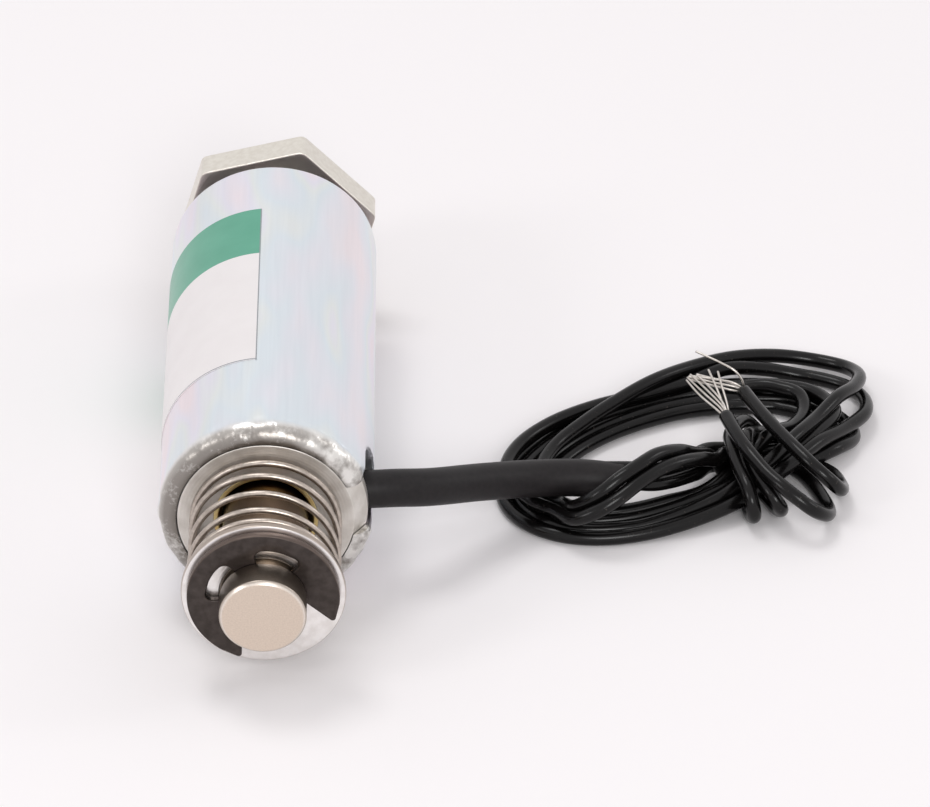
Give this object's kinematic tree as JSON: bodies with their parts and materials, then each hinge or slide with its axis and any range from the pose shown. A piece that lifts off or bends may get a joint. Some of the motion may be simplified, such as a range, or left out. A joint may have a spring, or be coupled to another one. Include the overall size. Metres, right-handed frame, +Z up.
{
  "type": "push pull solenoid",
  "caption": "Tubular push pull solenoid with sprung plunger, push rod, threaded mounting neck with nut, and two flying leads.",
  "frame": {"origin": "on the surface the solenoid lies on, under the middle of its length, cord left out", "axes": "+Z up; +Y along the axis, from the sprung plunger towards the threaded neck and push rod; +X towards the leads"},
  "size_m": [0.0688, 0.0736, 0.02],
  "materials": {
    "zinc_plate": "bright zinc plating, faint iridescence",
    "nickel_plate": "turned and nickel plated, satin",
    "brass": "drawn, smooth",
    "nylon": "moulded",
    "copper_wire": "enamelled, layered winding",
    "polyester_tape": "smooth film",
    "fibre": "pressed fibre",
    "glass_sleeve": "woven",
    "turned_steel": "turned, zinc plated",
    "bronze": "sintered, oiled",
    "nickel_nut": "nickel plated, lightly scratched",
    "label_vinyl": "printed film, satin",
    "spring_wire": "drawn wire, nickel plated",
    "bright_washer": "stamped, bright",
    "black_oxide": "blackened spring steel, satin",
    "stainless": "centreless ground",
    "black_sleeve": "soft extruded, satin",
    "black_pvc": "extruded, semi-gloss",
    "tinned_copper": "tinned strands"
  },
  "bodies": {
    "stator": {"housing": "zinc_plate", "front_plate": "nickel_plate", "guide_tube": "brass", "bobbin": "nylon", "coil_winding": "copper_wire", "winding_tape": "polyester_tape", "rear_insulator": "fibre", "splice_sleeves": "glass_sleeve", "pole_piece": "turned_steel", "shim_cone": "brass", "rod_bush": "bronze", "mounting_nut": "nickel_nut", "label_film": "label_vinyl", "return_spring": "spring_wire", "lead_sleeve": "black_sleeve", "lead_wire_a": "black_pvc", "lead_wire_b": "black_pvc", "lead_coil": "black_pvc", "lead_arch_a": "black_pvc", "lead_arch_b": "black_pvc", "lead_tail_a": "black_pvc", "lead_tail_b": "black_pvc", "tinned_end_a": "tinned_copper", "tinned_end_b": "tinned_copper"},
    "spring_seat": {"spring_washer": "bright_washer"},
    "armature": {"e_clip": "black_oxide", "plunger": "nickel_plate", "push_rod": "stainless"}
  },
  "joints": [
    {"name": "plunger_slide", "type": "slide", "parent": "stator", "child": "spring_seat", "axis": [0, 1, 0], "range_m": [0, 0.006], "stiffness_N_per_m": 150, "springref_m": -0.001, "deforming": ["return_spring"]},
    {"name": "plunger_spin", "type": "hinge", "parent": "spring_seat", "child": "armature", "pos_m": [0, -0.0324, 0.01], "axis": [0, 1, 0], "continuous": true}
  ]
}
